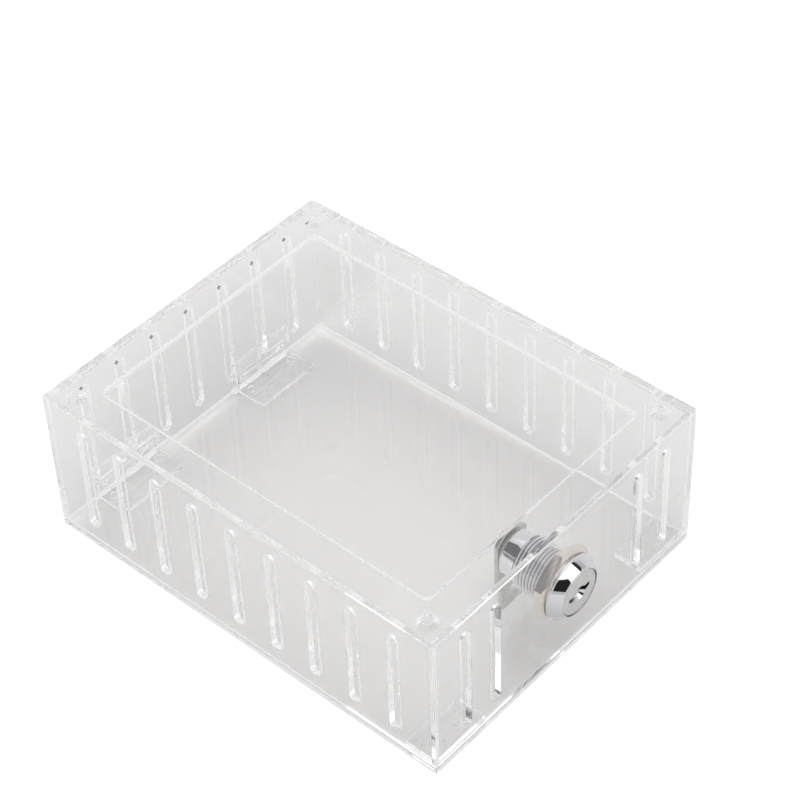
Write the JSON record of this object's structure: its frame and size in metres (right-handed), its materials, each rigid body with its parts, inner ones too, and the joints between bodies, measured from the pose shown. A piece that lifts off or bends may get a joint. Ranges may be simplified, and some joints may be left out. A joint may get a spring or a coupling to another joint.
{
  "type": "thermostat lock box",
  "caption": "Clear vented box that covers a wall thermostat: open back plate with screw holes, hinged front cover and a key cam lock with a hook.",
  "frame": {"origin": "middle of the box's length and width, on the plane that touches the undersides of the two hinge barrels", "axes": "+X from the hinge wall to the lock wall, +Y from the near long wall to the far long wall, +Z from the cover to the back plate"},
  "size_m": [0.21, 0.155, 0.077],
  "materials": {
    "clear_sheet": "clear acrylic sheet, polished faces and edges",
    "hinge_plastic": "clear moulded acrylic",
    "hinge_pin": "clear plastic rod",
    "bright_chrome": "polished chrome plate",
    "nickel_nut": "warm nickel plate",
    "satin_face": "satin chrome plate",
    "wafer_brass": "stamped brass",
    "spring_steel": "drawn wire",
    "zinc_steel": "zinc plated stamping"
  },
  "bodies": {
    "case": {"back_plate": "clear_sheet", "hinge_wall": "clear_sheet", "lock_wall": "clear_sheet", "near_wall": "clear_sheet", "far_wall": "clear_sheet", "near_hinge_wall_leaf": "hinge_plastic", "far_hinge_wall_leaf": "hinge_plastic", "near_hinge_pin": "hinge_pin", "far_hinge_pin": "hinge_pin", "lock_housing": "bright_chrome", "lock_nut": "nickel_nut"},
    "cover": {"front_cover": "clear_sheet", "keeper": "clear_sheet", "near_locating_block": "clear_sheet", "far_locating_block": "clear_sheet", "near_hinge_cover_leaf": "hinge_plastic", "far_hinge_cover_leaf": "hinge_plastic"},
    "lock_core": {"lock_plug": "satin_face", "lock_wafers": "wafer_brass", "wafer_springs": "spring_steel", "stop_washer": "zinc_steel", "lock_cam": "zinc_steel", "cam_screw": "zinc_steel"}
  },
  "joints": [
    {"name": "cover_hinge", "type": "hinge", "parent": "case", "child": "cover", "pos_m": [-0.1025, 0, 0.0025], "axis": [0, 1, 0], "range_deg": [0, 270]},
    {"name": "lock_turn", "type": "hinge", "parent": "case", "child": "lock_core", "pos_m": [0.1, 0, 0.0425], "axis": [1, 0, 0], "range_deg": [0, 45]}
  ]
}
